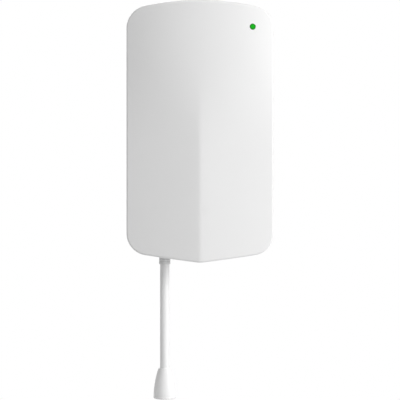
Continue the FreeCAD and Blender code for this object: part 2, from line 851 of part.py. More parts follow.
def pin_places():
    """The x of each contact pin."""
    return [cable_x - pin_spacing / 2, cable_x + pin_spacing / 2]


def make_probe_carrier():
    """Plug that fills the bell up to the cable's end and holds the pins."""
    foot = probe_top() - probe_height
    carrier = post(cable_x, parting_depth, carrier_diameter / 2, foot + carrier_recess,
                   probe_top() - probe_socket_depth)
    for x in pin_places():
        carrier = carrier.cut(post(x, parting_depth, pin_diameter / 2, foot, foot + pin_length))
    return carrier


def make_probe_pins():
    """The two contacts, whose ends are level with the bell's rim."""
    foot = probe_top() - probe_height
    pins = []
    for x in pin_places():
        pin = post(x, parting_depth, pin_diameter / 2, foot, foot + pin_length)
        pins.append(pin.makeFillet(pin_diameter / 5, edges_at_height(pin, foot)))
    return Part.makeCompound(pins)


link_top = bay_bottom + contact_sheet
left_foot = link_top + spring_height
right_top = link_top + cell_length

nodes = {
    "wall_plate": make_wall_plate(),
    "rear_cover": make_rear_cover(),
    "front_cover": make_front_cover(),
    "case_screws": make_case_screws(),
    "light_pipe": make_light_pipe(),
    "main_board": make_main_board(),
    "radio_module": make_radio_module(),
    "status_led": make_status_led(),
    "pair_switch": make_pair_switch(),
    "switch_plunger": make_switch_plunger(),
    "pair_button": make_pair_button(),
    "board_header": make_board_header(),
    "lead_plug": make_lead_plug(),
    "sensor_leads": make_sensor_leads(),
    "board_screws": make_board_screws(),
    "positive_contact": make_top_contact(-cell_x),
    "negative_contact": make_top_contact(cell_x),
    "link_contact": make_link_contact(),
    "negative_spring": make_spring(cell_x, right_top, False),
    "link_spring": make_spring(-cell_x, link_top, True),
    "cell_left": make_cell(-cell_x, left_foot, True),
    "cell_right": make_cell(cell_x, link_top, False),
    "cable_gland": make_cable_gland(),
    "cable": make_cable(),
    "probe_head": make_probe_head(),
    "probe_carrier": make_probe_carrier(),
    "probe_pins": make_probe_pins(),
}

os.makedirs("parts", exist_ok=True)
for name, shape in nodes.items():
    shape.exportStep("parts/" + name + ".step")
    print(name, "valid" if shape.isValid() else "NOT VALID", len(shape.Solids), round(shape.Volume, 2))
print("case", round(body_width, 3), "x", round(body_height, 3), "x", round(ridge_depth, 3))
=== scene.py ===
import math

import bmesh
import bpy
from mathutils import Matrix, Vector


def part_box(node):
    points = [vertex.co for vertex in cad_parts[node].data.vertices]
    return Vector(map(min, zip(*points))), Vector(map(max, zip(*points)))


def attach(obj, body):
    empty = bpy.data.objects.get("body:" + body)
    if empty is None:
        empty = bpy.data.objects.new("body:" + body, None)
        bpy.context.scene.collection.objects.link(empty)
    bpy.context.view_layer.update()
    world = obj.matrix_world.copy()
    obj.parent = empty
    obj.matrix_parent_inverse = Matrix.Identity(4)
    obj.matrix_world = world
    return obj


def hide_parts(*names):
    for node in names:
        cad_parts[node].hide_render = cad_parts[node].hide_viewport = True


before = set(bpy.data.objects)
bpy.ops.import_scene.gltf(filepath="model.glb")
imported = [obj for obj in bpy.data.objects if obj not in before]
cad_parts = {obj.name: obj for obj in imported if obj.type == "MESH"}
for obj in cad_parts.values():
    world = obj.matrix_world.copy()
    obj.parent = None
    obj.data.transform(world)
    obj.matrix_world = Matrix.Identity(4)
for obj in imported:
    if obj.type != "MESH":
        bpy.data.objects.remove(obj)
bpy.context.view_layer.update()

# Camera
# The photograph is taken from straight in front, about half a metre away, level with the
# lower quarter of the case, so the probe's foot curves and the front's fold is seen square.
MM = 0.001
photo_size = 400
camera_distance = 516.5 * MM
camera_height = -24.41 * MM
pixels_per_radian = 1392.0

bpy.ops.object.camera_add(location=(0, -camera_distance, camera_height), rotation=(math.pi / 2, 0, 0))
camera = bpy.context.object
camera.name = "photo_camera"
camera.data.sensor_width = 36
camera.data.lens = camera.data.sensor_width * pixels_per_radian / photo_size
camera.data.clip_start = 0.01
camera.data.clip_end = 20
bpy.context.scene.camera = camera

# Studio
# A white room: the backdrop is white to the eye and pale grey to the object, and a white
# floor under the sensor keeps its soft shadow. Most of the light comes from the right.
bpy.context.scene.view_settings.view_transform = "Standard"


def linear(hex_colour):
    """An sRGB hex colour as the linear colour, with alpha, that a shader takes."""
    channels = [int(hex_colour[i:i + 2], 16) / 255 for i in (0, 2, 4)]
    return [c / 12.92 if c <= 0.04045 else ((c + 0.055) / 1.055) ** 2.4 for c in channels] + [1.0]


def add(tree, kind, inputs=None, **settings):
    """Adds a node with its settings; an input is given a value, or a socket to link from."""
    node = tree.nodes.new(kind)
    for name, value in settings.items():
        setattr(node, name, value)
    for name, value in (inputs or {}).items():
        if isinstance(value, bpy.types.NodeSocket):
            tree.links.new(value, node.inputs[name])
        else:
            node.inputs[name].default_value = value
    return node


def new_material(name):
    """An empty node material and its tree."""
    material = bpy.data.materials.new(name)
    material.use_nodes = True
    material.node_tree.nodes.clear()
    return material, material.node_tree


world = bpy.data.worlds.new("white_room")
bpy.context.scene.world = world
world.use_nodes = True
tree = world.node_tree
tree.nodes.clear()
room_light = 0.24
path = add(tree, "ShaderNodeLightPath")
seen = add(tree, "ShaderNodeMath", {0: path.outputs["Is Camera Ray"], 1: path.outputs["Is Glossy Ray"]},
           operation="MAXIMUM")
seen = add(tree, "ShaderNodeMath", {0: seen.outputs[0], 1: path.outputs["Is Transmission Ray"]},
           operation="MAXIMUM")
lighting = add(tree, "ShaderNodeBackground", {"Color": linear("FFFFFF"), "Strength": room_light})
white = add(tree, "ShaderNodeBackground", {"Color": linear("FFFFFF"), "Strength": 1.0})
either = add(tree, "ShaderNodeMixShader", {0: seen.outputs[0], 1: lighting.outputs[0], 2: white.outputs[0]})
add(tree, "ShaderNodeOutputWorld", {"Surface": either.outputs[0]})

# Floor paint: white, and it fades into the white room away from the sensor's shadow. From
# below there is no floor, so the sensor's underside can be looked at.
floor_height = -160 * MM
floor_size = 800 * MM
shadow_reach = 110 * MM
fade_end = 360 * MM
floor_glow = 0.5
floor_material, tree = new_material("matt_white_floor_paint")
place = add(tree, "ShaderNodeTexCoord")
away = add(tree, "ShaderNodeMapping", {"Vector": place.outputs["Object"], "Location": (0, 0, -floor_height)})
away = add(tree, "ShaderNodeVectorMath", {0: away.outputs[0]}, operation="LENGTH")
fade = add(tree, "ShaderNodeMapRange", {
    "Value": away.outputs["Value"], "From Min": shadow_reach, "From Max": fade_end,
    "To Min": floor_glow, "To Max": 1.0}, interpolation_type="SMOOTHSTEP")
path = add(tree, "ShaderNodeLightPath")
seen = add(tree, "ShaderNodeMath", {0: path.outputs["Is Camera Ray"], 1: path.outputs["Is Glossy Ray"]},
           operation="MAXIMUM")
seen = add(tree, "ShaderNodeMath", {0: seen.outputs[0], 1: path.outputs["Is Transmission Ray"]},
           operation="MAXIMUM")
faded = add(tree, "ShaderNodeMath", {0: seen.outputs[0], 1: fade.outputs[0]}, operation="MULTIPLY")
paint = add(tree, "ShaderNodeBsdfPrincipled", {"Base Color": linear("F7F7F7"), "Roughness": 0.9})
room = add(tree, "ShaderNodeEmission", {"Color": linear("FFFFFF"), "Strength": 1.0})
above = add(tree, "ShaderNodeMixShader", {0: faded.outputs[0], 1: paint.outputs[0], 2: room.outputs[0]})
side = add(tree, "ShaderNodeNewGeometry")
below = add(tree, "ShaderNodeBsdfTransparent")
either = add(tree, "ShaderNodeMixShader", {0: side.outputs["Backfacing"], 1: above.outputs[0],
                                           2: below.outputs[0]})
add(tree, "ShaderNodeOutputMaterial", {"Surface": either.outputs[0]})

bpy.ops.object.select_all(action="DESELECT")
bpy.ops.mesh.primitive_plane_add(size=floor_size, location=(0, 0, floor_height))
floor = bpy.context.object
floor.name = "studio_floor"
bpy.ops.object.transform_apply(location=True, rotation=True, scale=True)
floor.data.materials.append(floor_material)

# Round soft lamps aimed at the sensor, each with its place, its width and its power in watts
for name, spot, width, power in (
    ("key_lamp", (0.938, -0.542, 0.191), 0.6, 7.3),
    ("side_lamp", (0.768, -0.135, 0.45), 0.5, 1.1),
    ("high_lamp", (0, -0.424, 0.424), 0.35, 1.1),
    ("rear_lamp", (-0.25, 0.95, 0.45), 0.6, 4.0),
):
    bpy.ops.object.light_add(type="AREA", location=spot)
    lamp = bpy.context.object
    lamp.name = name
    lamp.data.shape = "DISK"
    lamp.data.size = width
    lamp.data.energy = power
    lamp.rotation_euler = (-Vector(spot)).to_track_quat("-Z", "Y").to_euler()

# Cable
# Round two-core cable with a soft white PVC jacket, 3.4 mm across. It hangs dead straight
# from its bush into the probe, and its two ends are potted in the case and in the bell.
cable_low, cable_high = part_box("cable")
cable_x = (cable_low.x + cable_high.x) / 2
cable_y = (cable_low.y + cable_high.y) / 2
cable_diameter = cable_high.x - cable_low.x
bush_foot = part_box("cable_gland")[0].z
bell_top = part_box("probe_head")[1].z
cable_route = [
    (cable_x, cable_y, cable_high.z),
    (cable_x, cable_y, bush_foot),
    (cable_x, cable_y, (bush_foot + bell_top) / 2),
    (cable_x, cable_y, bell_top),
    (cable_x, cable_y, cable_low.z),
]

line = bpy.data.curves.new("probe_cable", "CURVE")
line.dimensions = "3D"
spline = line.splines.new("NURBS")
spline.points.add(len(cable_route) - 1)
for point, spot in zip(spline.points, cable_route):
    point.co = (*spot, 1)
spline.order_u = 3
spline.use_endpoint_u = True
spline.resolution_u = 12
line.bevel_depth = cable_diameter / 2
line.bevel_resolution = 8
line.use_fill_caps = True
cable = bpy.data.objects.new("probe_cable", line)
bpy.context.scene.collection.objects.link(cable)

# Extruded PVC: milky white and satin, with the faint lengthwise drag of the extruder's die
jacket, tree = new_material("pvc_extruded_satin_white")
place = add(tree, "ShaderNodeTexCoord")
along = add(tree, "ShaderNodeMapping", {"Vector": place.outputs["Object"], "Scale": (1, 1, 0.06)})
drag = add(tree, "ShaderNodeTexNoise", {"Vector": along.outputs[0], "Scale": 1 / (0.9 * MM), "Detail": 3.0})
gloss = add(tree, "ShaderNodeMapRange", {"Value": drag.outputs["Fac"], "To Min": 0.38, "To Max": 0.5})
relief = add(tree, "ShaderNodeBump", {"Height": drag.outputs["Fac"], "Strength": 0.12,
                                      "Distance": 0.05 * MM})
tint = add(tree, "ShaderNodeMixRGB", {"Fac": drag.outputs["Fac"], "Color1": linear("EBEBEB"),
                                      "Color2": linear("F0F0F0")})
skin = add(tree, "ShaderNodeBsdfPrincipled", {
    "Base Color": tint.outputs[0], "Roughness": gloss.outputs[0], "Normal": relief.outputs[0], "IOR": 1.53})
add(tree, "ShaderNodeOutputMaterial", {"Surface": skin.outputs[0]})
cable.data.materials.append(jacket)
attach(cable, "case")
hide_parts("cable")

# Wall plate
# Injection-moulded ABS, 2 mm thick, screwed to the wall. The side that faces the wall still
# shows where the mould's six ejector pins pushed it out, and the stub of its gate.


def dress(material, *names):
    """Gives CAD nodes their finish: the material goes into every slot of each one's object."""
    for name in names:
        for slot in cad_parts[name].material_slots:
            slot.material = material


plate_low, plate_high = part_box("wall_plate")
pin_x = 12.5 * MM
pin_z = 24 * MM
pin_radius = 2.0 * MM
pin_ring = 0.25 * MM
gate_radius = 0.9 * MM
gate_core = 0.63 * MM
faces_wall = 0.9
# ABS from a plain mould: a chalky, even white with no reflections in it, and faint round marks
plate_abs, tree = new_material("abs_moulded_matt_white_with_pin_marks")
place = add(tree, "ShaderNodeTexCoord")
centred = add(tree, "ShaderNodeMapping", {
    "Vector": place.outputs["Object"], "Location": (0, 0, -(plate_low.z + plate_high.z) / 2)})
flat = add(tree, "ShaderNodeVectorMath", {0: centred.outputs[0], 1: (1, 0, 1)}, operation="MULTIPLY")
from_gate = add(tree, "ShaderNodeVectorMath", {0: flat.outputs[0]}, operation="LENGTH")
quarter = add(tree, "ShaderNodeVectorMath", {0: flat.outputs[0]}, operation="ABSOLUTE")
corner = add(tree, "ShaderNodeVectorMath", {0: quarter.outputs[0], 1: (pin_x, 0, pin_z)},
             operation="DISTANCE")
middle = add(tree, "ShaderNodeVectorMath", {0: quarter.outputs[0], 1: (pin_x, 0, 0)},
             operation="DISTANCE")
from_pin = add(tree, "ShaderNodeMath", {0: corner.outputs["Value"], 1: middle.outputs["Value"]},
               operation="MINIMUM")
rim = add(tree, "ShaderNodeMath", {0: from_pin.outputs[0], 1: pin_radius}, operation="SUBTRACT")
rim = add(tree, "ShaderNodeMath", {0: rim.outputs[0]}, operation="ABSOLUTE")
rim = add(tree, "ShaderNodeMapRange", {"Value": rim.outputs[0], "From Max": pin_ring, "To Min": 1.0,
                                       "To Max": 0.0})
stub = add(tree, "ShaderNodeMapRange", {"Value": from_gate.outputs["Value"], "From Min": gate_core,
                                        "From Max": gate_radius, "To Min": 1.0, "To Max": 0.0})
marks = add(tree, "ShaderNodeMath", {0: rim.outputs[0], 1: stub.outputs[0]}, operation="MAXIMUM")
wall_side = add(tree, "ShaderNodeSeparateXYZ", {0: place.outputs["Normal"]})
wall_side = add(tree, "ShaderNodeMath", {0: wall_side.outputs["Y"], 1: faces_wall},
                operation="GREATER_THAN")
marks = add(tree, "ShaderNodeMath", {0: marks.outputs[0], 1: wall_side.outputs[0]}, operation="MULTIPLY")
grain = add(tree, "ShaderNodeTexNoise", {"Vector": place.outputs["Object"], "Scale": 1 / (0.35 * MM),
                                         "Detail": 2.0})
drift = add(tree, "ShaderNodeTexNoise", {"Vector": place.outputs["Object"], "Scale": 1 / (16 * MM),
                                         "Detail": 2.0})
gloss = add(tree, "ShaderNodeMapRange", {"Value": drift.outputs["Fac"], "To Min": 0.5, "To Max": 0.6})
relief = add(tree, "ShaderNodeBump", {"Height": grain.outputs["Fac"], "Strength": 0.3, "Distance": 0.02 * MM})
relief = add(tree, "ShaderNodeBump", {"Height": marks.outputs[0], "Normal": relief.outputs[0],
                                      "Strength": 0.8, "Distance": 0.1 * MM})
tint = add(tree, "ShaderNodeMixRGB", {"Fac": drift.outputs["Fac"], "Color1": linear("E3E3E2"),
                                      "Color2": linear("E8E8E8")})
tint = add(tree, "ShaderNodeMixRGB", {"Fac": marks.outputs[0], "Color1": tint.outputs[0],
                                      "Color2": linear("D6D6D5")})
skin = add(tree, "ShaderNodeBsdfPrincipled", {
    "Base Color": tint.outputs[0], "Roughness": gloss.outputs[0], "Normal": relief.outputs[0], "IOR": 1.53})
add(tree, "ShaderNodeOutputMaterial", {"Surface": skin.outputs[0]})
dress(plate_abs, "wall_plate")

# Rear cover
# Injection-moulded ABS, whose slots drop onto the plate's four tabs. Only its edge is ever
# seen on a wall, so its mould has a plain spark-eroded grain. It gives the eye a chalky, even
# white with no reflections in it.
matt_abs, tree = new_material("abs_moulded_matt_white")
place = add(tree, "ShaderNodeTexCoord")
grain = add(tree, "ShaderNodeTexNoise", {"Vector": place.outputs["Object"], "Scale": 1 / (0.35 * MM),
                                         "Detail": 2.0})
drift = add(tree, "ShaderNodeTexNoise", {"Vector": place.outputs["Object"], "Scale": 1 / (16 * MM),
                                         "Detail": 2.0})
gloss = add(tree, "ShaderNodeMapRange", {"Value": drift.outputs["Fac"], "To Min": 0.5, "To Max": 0.6})
relief = add(tree, "ShaderNodeBump", {"Height": grain.outputs["Fac"], "Strength": 0.3, "Distance": 0.02 * MM})
tint = add(tree, "ShaderNodeMixRGB", {"Fac": drift.outputs["Fac"], "Color1": linear("E3E3E2"),
                                      "Color2": linear("E8E8E8")})
skin = add(tree, "ShaderNodeBsdfPrincipled", {
    "Base Color": tint.outputs[0], "Roughness": gloss.outputs[0], "Normal": relief.outputs[0], "IOR": 1.53})
add(tree, "ShaderNodeOutputMaterial", {"Surface": skin.outputs[0]})
dress(matt_abs, "rear_cover")

# Bay contacts and springs
# Spring steel, nickel-plated in a barrel: the sheet contacts push into slots in the bay's
# walls, and the coned springs press on the flat ends of the cells.
# A warm grey metal, blurred by fine tumbling marks.
contact_metal, tree = new_material("nickel_plated_spring_steel")
place = add(tree, "ShaderNodeTexCoord")
marks = add(tree, "ShaderNodeTexNoise", {"Vector": place.outputs["Object"], "Scale": 1 / (0.6 * MM),
                                         "Detail": 4.0, "Distortion": 0.6})
gloss = add(tree, "ShaderNodeMapRange", {"Value": marks.outputs["Fac"], "To Min": 0.2, "To Max": 0.36})
relief = add(tree, "ShaderNodeBump", {"Height": marks.outputs["Fac"], "Strength": 0.1, "Distance": 0.02 * MM})
tint = add(tree, "ShaderNodeMixRGB", {"Fac": marks.outputs["Fac"], "Color1": linear("BDB6AA"),
                                      "Color2": linear("CFCAC0")})
skin = add(tree, "ShaderNodeBsdfPrincipled", {
    "Base Color": tint.outputs[0], "Metallic": 1.0, "Roughness": gloss.outputs[0],
    "Normal": relief.outputs[0]})
add(tree, "ShaderNodeOutputMaterial", {"Surface": skin.outputs[0]})
dress(contact_metal, "positive_contact", "negative_contact", "link_contact", "negative_spring", "link_spring")

# Cells
# Two AA cells: a nickel-plated steel can in a heat-shrunk sleeve that turns over both
# shoulders, with a pale band at the end with the button. Nothing is printed on them.
sleeve_turn = 0.9 * MM
band_height = 7.0 * MM
button_height = 1.3 * MM
# Shrunk PVC film: dark grey and glossy, with a slight ripple where it lies on the can
for name, button_up in (("cell_left", True), ("cell_right", False)):
    low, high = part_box(name)
    can_foot = low.z if button_up else low.z + button_height
    can_head = high.z - button_height if button_up else high.z
    axis = (low.x + high.x) / 2
    radius = (high.x - low.x) / 2
    band = (can_head - band_height, can_head) if button_up else (can_foot, can_foot + band_height)
    sleeve, tree = new_material("pvc_sleeve_on_steel_" + name)
    place = add(tree, "ShaderNodeTexCoord")
    axes = add(tree, "ShaderNodeSeparateXYZ", {0: place.outputs["Object"]})
    centred = add(tree, "ShaderNodeMapping", {"Vector": place.outputs["Object"],
                                              "Location": (-axis, -(low.y + high.y) / 2, 0)})
    flat = add(tree, "ShaderNodeVectorMath", {0: centred.outputs[0], 1: (1, 1, 0)}, operation="MULTIPLY")
    radial = add(tree, "ShaderNodeVectorMath", {0: flat.outputs[0]}, operation="LENGTH")
    sleeved = add(tree, "ShaderNodeMath", {0: radial.outputs["Value"], 1: radius - sleeve_turn},
                  operation="GREATER_THAN")
    above = add(tree, "ShaderNodeMath", {0: axes.outputs["Z"], 1: band[0]}, operation="GREATER_THAN")
    below = add(tree, "ShaderNodeMath", {0: axes.outputs["Z"], 1: band[1]}, operation="LESS_THAN")
    banded = add(tree, "ShaderNodeMath", {0: above.outputs[0], 1: below.outputs[0]}, operation="MULTIPLY")
    ripple = add(tree, "ShaderNodeTexNoise", {"Vector": place.outputs["Object"], "Scale": 1 / (3 * MM),
                                              "Detail": 3.0})
    film = add(tree, "ShaderNodeMixRGB", {"Fac": banded.outputs[0], "Color1": linear("3B4048"),
                                          "Color2": linear("B4B9BE")})
    tint = add(tree, "ShaderNodeMixRGB", {"Fac": sleeved.outputs[0], "Color1": linear("C9C6BF"),
                                          "Color2": film.outputs[0]})
    bare = add(tree, "ShaderNodeMath", {0: 1.0, 1: sleeved.outputs[0]}, operation="SUBTRACT")
    gloss = add(tree, "ShaderNodeMapRange", {"Value": ripple.outputs["Fac"], "To Min": 0.24, "To Max": 0.36})
    relief = add(tree, "ShaderNodeBump", {"Height": ripple.outputs["Fac"], "Strength": 0.15,
                                          "Distance": 0.03 * MM})
    skin = add(tree, "ShaderNodeBsdfPrincipled", {
        "Base Color": tint.outputs[0], "Metallic": bare.outputs[0], "Roughness": gloss.outputs[0],
        "Normal": relief.outputs[0]})
    add(tree, "ShaderNodeOutputMaterial", {"Surface": skin.outputs[0]})
    dress(sleeve, name)

# Main board
# Glass-fibre laminate, 1.6 mm thick, with copper tracks under a green solder mask; two
# screws hold it on the front cover's pillars. Its sawn edges show the bare, tan laminate.
track_pitch = 0.8 * MM
track_edge = (0.55, 0.65)
wave_length = 0.314      # a wave texture of scale 1 repeats every 0.314 m
# Solder mask: a glossy, deep green that is paler where it runs over the raised tracks
board, tree = new_material("fibreglass_laminate_green_solder_mask")
place = add(tree, "ShaderNodeTexCoord")
axes = add(tree, "ShaderNodeSeparateXYZ", {0: place.outputs["Object"]})
upright = add(tree, "ShaderNodeCombineXYZ", {"X": axes.outputs["X"], "Y": axes.outputs["Z"]})
across = add(tree, "ShaderNodeTexWave", {"Vector": upright.outputs[0], "Scale": wave_length / track_pitch,
                                         "Distortion": 1.5, "Detail": 0.0}, bands_direction="X")
upward = add(tree, "ShaderNodeTexWave", {"Vector": upright.outputs[0], "Scale": wave_length / track_pitch,
                                         "Distortion": 1.5, "Detail": 0.0}, bands_direction="Y")
areas = add(tree, "ShaderNodeTexVoronoi", {"Vector": upright.outputs[0], "Scale": 1 / (6 * MM)},
            distance="CHEBYCHEV")
turned = add(tree, "ShaderNodeMath", {0: areas.outputs["Color"], 1: 0.5}, operation="GREATER_THAN")
tracks = add(tree, "ShaderNodeMixRGB", {"Fac": turned.outputs[0], "Color1": across.outputs["Color"],
                                        "Color2": upward.outputs["Color"]})
copper = add(tree, "ShaderNodeMapRange", {"Value": tracks.outputs[0], "From Min": track_edge[0],
                                          "From Max": track_edge[1]})
mask = add(tree, "ShaderNodeMixRGB", {"Fac": copper.outputs[0], "Color1": linear("14532F"),
                                      "Color2": linear("2C7A45")})
facing = add(tree, "ShaderNodeSeparateXYZ", {0: place.outputs["Normal"]})
facing = add(tree, "ShaderNodeMath", {0: facing.outputs["Y"]}, operation="ABSOLUTE")
flat = add(tree, "ShaderNodeMath", {0: facing.outputs[0], 1: 0.5}, operation="GREATER_THAN")
weave = add(tree, "ShaderNodeTexNoise", {"Vector": place.outputs["Object"], "Scale": 1 / (0.5 * MM),
                                         "Detail": 2.0})
sawn = add(tree, "ShaderNodeMixRGB", {"Fac": weave.outputs["Fac"], "Color1": linear("A89A6B"),
                                      "Color2": linear("C9BD8F")})
tint = add(tree, "ShaderNodeMixRGB", {"Fac": flat.outputs[0], "Color1": sawn.outputs[0],
                                      "Color2": mask.outputs[0]})
gloss = add(tree, "ShaderNodeMapRange", {"Value": flat.outputs[0], "To Min": 0.85, "To Max": 0.3})
relief = add(tree, "ShaderNodeBump", {"Height": copper.outputs[0], "Strength": 0.5, "Distance": 0.035 * MM})
skin = add(tree, "ShaderNodeBsdfPrincipled", {
    "Base Color": tint.outputs[0], "Roughness": gloss.outputs[0], "Normal": relief.outputs[0], "IOR": 1.55})
add(tree, "ShaderNodeOutputMaterial", {"Surface": skin.outputs[0]})
dress(board, "main_board")

# Radio module
# Small board under a screening can, folded from tin-plated steel sheet and soldered down.
# A cool, bright metal with soft blotches from the tin bath.
tin, tree = new_material("tin_plated_steel_sheet")
place = add(tree, "ShaderNodeTexCoord")
blotch = add(tree, "ShaderNodeTexNoise", {"Vector": place.outputs["Object"], "Scale": 1 / (2.5 * MM),
                                          "Detail": 4.0})
gloss = add(tree, "ShaderNodeMapRange", {"Value": blotch.outputs["Fac"], "To Min": 0.22, "To Max": 0.42})
relief = add(tree, "ShaderNodeBump", {"Height": blotch.outputs["Fac"], "Strength": 0.15,
                                      "Distance": 0.03 * MM})
tint = add(tree, "ShaderNodeMixRGB", {"Fac": blotch.outputs["Fac"], "Color1": linear("BFC2C4"),
                                      "Color2": linear("D6D8D9")})
skin = add(tree, "ShaderNodeBsdfPrincipled", {
    "Base Color": tint.outputs[0], "Metallic": 1.0, "Roughness": gloss.outputs[0],
    "Normal": relief.outputs[0]})
add(tree, "ShaderNodeOutputMaterial", {"Surface": skin.outputs[0]})
dress(tin, "radio_module")

# Indicator on the board
# Surface-mounted package of white epoxy, with a shallow lens well of clear resin over the
# green chip. The well looks faintly green, the package like glazed china.
led_low, led_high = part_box("status_led")
led_well = 1.15 * MM
led_well_edge = 1.2075 * MM
package, tree = new_material("epoxy_package_white_with_clear_well")
place = add(tree, "ShaderNodeTexCoord")
centred = add(tree, "ShaderNodeMapping", {
    "Vector": place.outputs["Object"],
    "Location": (-(led_low.x + led_high.x) / 2, 0, -(led_low.z + led_high.z) / 2)})
flat = add(tree, "ShaderNodeVectorMath", {0: centred.outputs[0], 1: (1, 0, 1)}, operation="MULTIPLY")
radial = add(tree, "ShaderNodeVectorMath", {0: flat.outputs[0]}, operation="LENGTH")
well = add(tree, "ShaderNodeMapRange", {"Value": radial.outputs["Value"], "From Min": led_well,
                                        "From Max": led_well_edge, "To Min": 1.0, "To Max": 0.0})
grain = add(tree, "ShaderNodeTexNoise", {"Vector": place.outputs["Object"], "Scale": 1 / (0.25 * MM)})
tint = add(tree, "ShaderNodeMixRGB", {"Fac": well.outputs[0], "Color1": linear("E6E3D8"),
                                      "Color2": linear("9FD6A4")})
gloss = add(tree, "ShaderNodeMapRange", {"Value": well.outputs[0], "To Min": 0.4, "To Max": 0.12})
relief = add(tree, "ShaderNodeBump", {"Height": grain.outputs["Fac"], "Strength": 0.15,
                                      "Distance": 0.01 * MM})
skin = add(tree, "ShaderNodeBsdfPrincipled", {
    "Base Color": tint.outputs[0], "Roughness": gloss.outputs[0], "Normal": relief.outputs[0], "IOR": 1.53})
add(tree, "ShaderNodeOutputMaterial", {"Surface": skin.outputs[0]})
dress(package, "status_led")

# Push switch
# Glass-filled black nylon body soldered to the rear of the board, and its loose plunger of
# plain dark nylon. The fibres near the surface leave the body dull, the plunger stays slick.
nylon, tree = new_material("nylon_glass_filled_black")
place = add(tree, "ShaderNodeTexCoord")
fibres = add(tree, "ShaderNodeTexNoise", {"Vector": place.outputs["Object"], "Scale": 1 / (0.3 * MM),
                                          "Detail": 5.0, "Distortion": 1.2})
gloss = add(tree, "ShaderNodeMapRange", {"Value": fibres.outputs["Fac"], "To Min": 0.45, "To Max": 0.7})
relief = add(tree, "ShaderNodeBump", {"Height": fibres.outputs["Fac"], "Strength": 0.3,
                                      "Distance": 0.02 * MM})
tint = add(tree, "ShaderNodeMixRGB", {"Fac": fibres.outputs["Fac"], "Color1": linear("1C1C1E"),
                                      "Color2": linear("2B2B2D")})
skin = add(tree, "ShaderNodeBsdfPrincipled", {
    "Base Color": tint.outputs[0], "Roughness": gloss.outputs[0], "Normal": relief.outputs[0], "IOR": 1.53})
add(tree, "ShaderNodeOutputMaterial", {"Surface": skin.outputs[0]})
dress(nylon, "pair_switch")

stem, tree = new_material("nylon_moulded_dark_grey")
place = add(tree, "ShaderNodeTexCoord")
rub = add(tree, "ShaderNodeTexNoise", {"Vector": place.outputs["Object"], "Scale": 1 / (0.8 * MM)})
gloss = add(tree, "ShaderNodeMapRange", {"Value": rub.outputs["Fac"], "To Min": 0.25, "To Max": 0.4})
tint = add(tree, "ShaderNodeMixRGB", {"Fac": rub.outputs["Fac"], "Color1": linear("45464A"),
                                      "Color2": linear("4E4F53")})
skin = add(tree, "ShaderNodeBsdfPrincipled", {
    "Base Color": tint.outputs[0], "Roughness": gloss.outputs[0], "IOR": 1.53})
add(tree, "ShaderNodeOutputMaterial", {"Surface": skin.outputs[0]})
dress(stem, "switch_plunger")

# Small parts on the board
# A controller in black epoxy on tinned legs, a screened crystal, an inductor and ceramic
# capacitors, all set on the rear of the board by machine and soldered in one oven.
board_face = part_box("main_board")[1].y


def select_faces(block, direction):
    """Opens edit mode with just the faces selected that look in a direction."""
    bpy.ops.object.mode_set(mode="EDIT")
    bpy.ops.mesh.select_mode(type="FACE")
    bpy.ops.mesh.select_all(action="DESELECT")
    mesh = bmesh.from_edit_mesh(block.data)
    for face in mesh.faces:
        face.select = face.normal.dot(direction) > 0.9
    bmesh.update_edit_mesh(block.data)


def stand(name, place, size, edge, taper=1.0):
    """A block on the rear of the board: its far face is tapered and its edges are rounded."""
    middle = (place[0], board_face + size[1] / 2, place[1])
    bpy.ops.object.select_all(action="DESELECT")
    bpy.ops.mesh.primitive_cube_add(size=1, location=middle, scale=size)
    block = bpy.context.object
    block.name = name
    bpy.ops.object.transform_apply(location=True, rotation=True, scale=True)
    select_faces(block, Vector((0, 1, 0)))
    bpy.ops.transform.resize(value=(taper, 1, taper))
    bpy.ops.mesh.select_all(action="SELECT")
    bpy.ops.mesh.bevel(offset=edge, segments=2, affect="EDGES")
    bpy.ops.object.mode_set(mode="OBJECT")
    return block


def gather(name, blocks):
    """Joins blocks into one piece that rides with the case."""
    bpy.ops.object.select_all(action="DESELECT")
    for block in blocks:
        block.select_set(True)
    bpy.context.view_layer.objects.active = blocks[0]
    if len(blocks) > 1:
        bpy.ops.object.join()
    piece = bpy.context.object
    piece.name = name
    piece.data.name = name
    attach(piece, "case")
    return piece


chip_place = (-7.4 * MM, 38.0 * MM)
chip_size = (6.5 * MM, 1.0 * MM, 4.4 * MM)
leg_count = 10
leg_pitch = 0.65 * MM
leg_size = (0.24 * MM, 0.13 * MM, 0.4 * MM)
leg_drop = 0.36 * MM
leg_slant = 0.2 * MM
leg_foot = 0.45 * MM
controller = gather("controller_body", [stand("controller", chip_place, chip_size, 0.06 * MM, taper=0.95)])
legs = []
for side in (1, -1):
    shoulder = (chip_place[0] - leg_pitch * (leg_count - 1) / 2, board_face + leg_drop + leg_size[1] / 2,
                chip_place[1] + side * chip_size[2] / 2)
    bpy.ops.object.select_all(action="DESELECT")
    bpy.ops.mesh.primitive_cube_add(size=1, location=shoulder, scale=leg_size)
    leg = bpy.context.object
    bpy.ops.object.transform_apply(location=True, rotation=True, scale=True)
    select_faces(leg, Vector((0, 0, side)))
    bpy.ops.mesh.extrude_region_move(TRANSFORM_OT_translate={"value": (0, -leg_drop, side * leg_slant)})
    bpy.ops.mesh.extrude_region_move(TRANSFORM_OT_translate={"value": (0, 0, side * leg_foot)})
    bpy.ops.object.mode_set(mode="OBJECT")
    row = leg.modifiers.new("row", "ARRAY")
    row.use_relative_offset = False
    row.use_constant_offset = True
    row.constant_offset_displace = (leg_pitch, 0, 0)
    row.count = leg_count
    bpy.ops.object.modifier_apply(modifier=row.name)
    legs.append(leg)
controller_legs = gather("controller_legs", legs)

crystal_place = (5.2 * MM, 40.4 * MM)
crystal_size = (3.2 * MM, 0.8 * MM, 2.5 * MM)
crystal = gather("crystal_can", [stand("can", crystal_place, crystal_size, 0.12 * MM, taper=0.92)])

